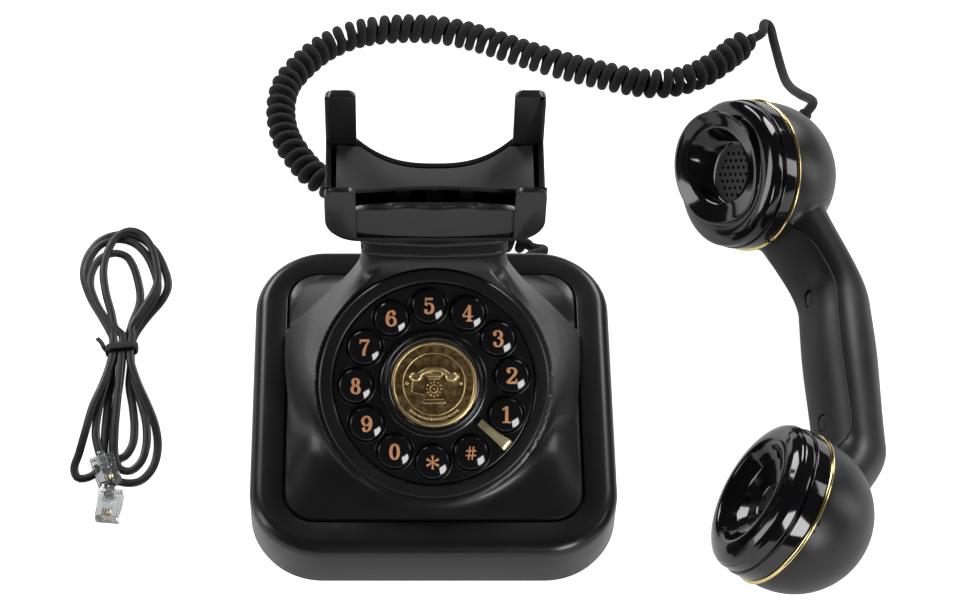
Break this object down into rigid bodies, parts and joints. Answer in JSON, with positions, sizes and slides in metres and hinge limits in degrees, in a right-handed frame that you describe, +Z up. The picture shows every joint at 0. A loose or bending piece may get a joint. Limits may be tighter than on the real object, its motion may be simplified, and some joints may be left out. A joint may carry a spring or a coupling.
{
  "type": "cradle telephone",
  "caption": "Square-based push-button telephone with a tall neck and four-pronged cradle, dial-shaped keypad, medallion, handset off the hook, curly cord and a tied line cord.",
  "frame": {"origin": "centre of the bounding box at table height, with the cords and what is on them left out", "axes": "+Z up, -Y towards the user who reads the keypad, +X to that user's right, where the handset lies"},
  "size_m": [0.329, 0.3048, 0.158],
  "materials": {
    "satin_black_plastic": "satin moulded black plastic, softly reflecting",
    "dull_black_plastic": "dull black plastic",
    "insert_black_plastic": "slightly grained satin black plastic",
    "glossy_black_plastic": "glossy moulded black plastic",
    "glossy_black_key": "glossy domed black key with a printed peach character",
    "grey_plastic": "matt dark grey plastic",
    "black_rubber": "matt black rubber",
    "antique_brass": "embossed brass with a dark mottled patina and a bright rim",
    "champagne_brass": "brushed pale brass",
    "polished_gold": "polished gold-coloured brass",
    "steel": "plain steel",
    "circuit_board": "green circuit board",
    "braided_cord": "black braided fabric over a round wire",
    "line_cord_sheath": "flat black vinyl line cord, satin",
    "clear_plastic": "clear moulded plastic with gold contacts"
  },
  "bodies": {
    "base": {"base_tray": "dull_black_plastic", "plinth_shell": "satin_black_plastic", "upper_case": "satin_black_plastic", "ballast_plate": "steel", "main_board": "circuit_board", "ringer": "dull_black_plastic", "line_jack": "dull_black_plastic", "base_cord_grommet": "black_rubber", "foot_1": "black_rubber", "foot_2": "black_rubber", "foot_3": "black_rubber", "foot_4": "black_rubber", "tray_screw_1": "steel", "tray_screw_2": "steel", "tray_screw_3": "steel", "tray_screw_4": "steel", "dial_bezel": "satin_black_plastic", "dial_face": "glossy_black_plastic", "medallion_rim": "satin_black_plastic", "medallion": "antique_brass", "finger_stop": "champagne_brass", "keypad_mat": "black_rubber", "keypad_board": "circuit_board", "cradle_frame": "satin_black_plastic", "hook_switch": "dull_black_plastic", "curly_cord": "braided_cord", "cord_lead_base": "braided_cord", "line_hank": "line_cord_sheath", "cord_tie": "line_cord_sheath", "line_plug_a": "clear_plastic", "line_plug_b": "clear_plastic"},
    "hook": {"hook_plate": "grey_plastic", "hook_spring": "steel"},
    "handset": {"handset_back": "satin_black_plastic", "handset_front": "insert_black_plastic", "ear_ring": "polished_gold", "mouth_ring": "polished_gold", "ear_cap": "glossy_black_plastic", "mouth_cap": "glossy_black_plastic", "receiver": "dull_black_plastic", "microphone": "dull_black_plastic", "handset_screw_ear": "steel", "handset_screw_mouth": "steel", "screw_plug_ear": "insert_black_plastic", "screw_plug_mouth": "insert_black_plastic", "handset_grommet": "black_rubber", "cord_lead_handset": "braided_cord"},
    "key_1": {"key_1": "glossy_black_key"},
    "key_2": {"key_2": "glossy_black_key"},
    "key_3": {"key_3": "glossy_black_key"},
    "key_4": {"key_4": "glossy_black_key"},
    "key_5": {"key_5": "glossy_black_key"},
    "key_6": {"key_6": "glossy_black_key"},
    "key_7": {"key_7": "glossy_black_key"},
    "key_8": {"key_8": "glossy_black_key"},
    "key_9": {"key_9": "glossy_black_key"},
    "key_0": {"key_0": "glossy_black_key"},
    "key_star": {"key_star": "glossy_black_key"},
    "key_hash": {"key_hash": "glossy_black_key"}
  },
  "joints": [
    {"name": "press_1", "type": "slide", "parent": "base", "child": "key_1", "axis": [0, 0.5878, -0.809], "range_m": [0, 0.0015], "stiffness_N_per_m": 400, "springref_m": -0.0008},
    {"name": "press_2", "type": "slide", "parent": "base", "child": "key_2", "axis": [0, 0.5878, -0.809], "range_m": [0, 0.0015], "stiffness_N_per_m": 400, "springref_m": -0.0008},
    {"name": "press_3", "type": "slide", "parent": "base", "child": "key_3", "axis": [0, 0.5878, -0.809], "range_m": [0, 0.0015], "stiffness_N_per_m": 400, "springref_m": -0.0008},
    {"name": "press_4", "type": "slide", "parent": "base", "child": "key_4", "axis": [0, 0.5878, -0.809], "range_m": [0, 0.0015], "stiffness_N_per_m": 400, "springref_m": -0.0008},
    {"name": "press_5", "type": "slide", "parent": "base", "child": "key_5", "axis": [0, 0.5878, -0.809], "range_m": [0, 0.0015], "stiffness_N_per_m": 400, "springref_m": -0.0008},
    {"name": "press_6", "type": "slide", "parent": "base", "child": "key_6", "axis": [0, 0.5878, -0.809], "range_m": [0, 0.0015], "stiffness_N_per_m": 400, "springref_m": -0.0008},
    {"name": "press_7", "type": "slide", "parent": "base", "child": "key_7", "axis": [0, 0.5878, -0.809], "range_m": [0, 0.0015], "stiffness_N_per_m": 400, "springref_m": -0.0008},
    {"name": "press_8", "type": "slide", "parent": "base", "child": "key_8", "axis": [0, 0.5878, -0.809], "range_m": [0, 0.0015], "stiffness_N_per_m": 400, "springref_m": -0.0008},
    {"name": "press_9", "type": "slide", "parent": "base", "child": "key_9", "axis": [0, 0.5878, -0.809], "range_m": [0, 0.0015], "stiffness_N_per_m": 400, "springref_m": -0.0008},
    {"name": "press_0", "type": "slide", "parent": "base", "child": "key_0", "axis": [0, 0.5878, -0.809], "range_m": [0, 0.0015], "stiffness_N_per_m": 400, "springref_m": -0.0008},
    {"name": "press_star", "type": "slide", "parent": "base", "child": "key_star", "axis": [0, 0.5878, -0.809], "range_m": [0, 0.0015], "stiffness_N_per_m": 400, "springref_m": -0.0008},
    {"name": "press_hash", "type": "slide", "parent": "base", "child": "key_hash", "axis": [0, 0.5878, -0.809], "range_m": [0, 0.0015], "stiffness_N_per_m": 400, "springref_m": -0.0008},
    {"name": "hook_press", "type": "slide", "parent": "base", "child": "hook", "axis": [0, 0, -1], "range_m": [0, 0.004], "stiffness_N_per_m": 600, "springref_m": -0.0008, "deforming": ["hook_spring"]},
    {"name": "handset_lift", "type": "slide", "parent": "base", "child": "handset", "axis": [0, 0, 1], "range_m": [0, 0.15], "deforming": ["cord_lead_handset"]}
  ]
}
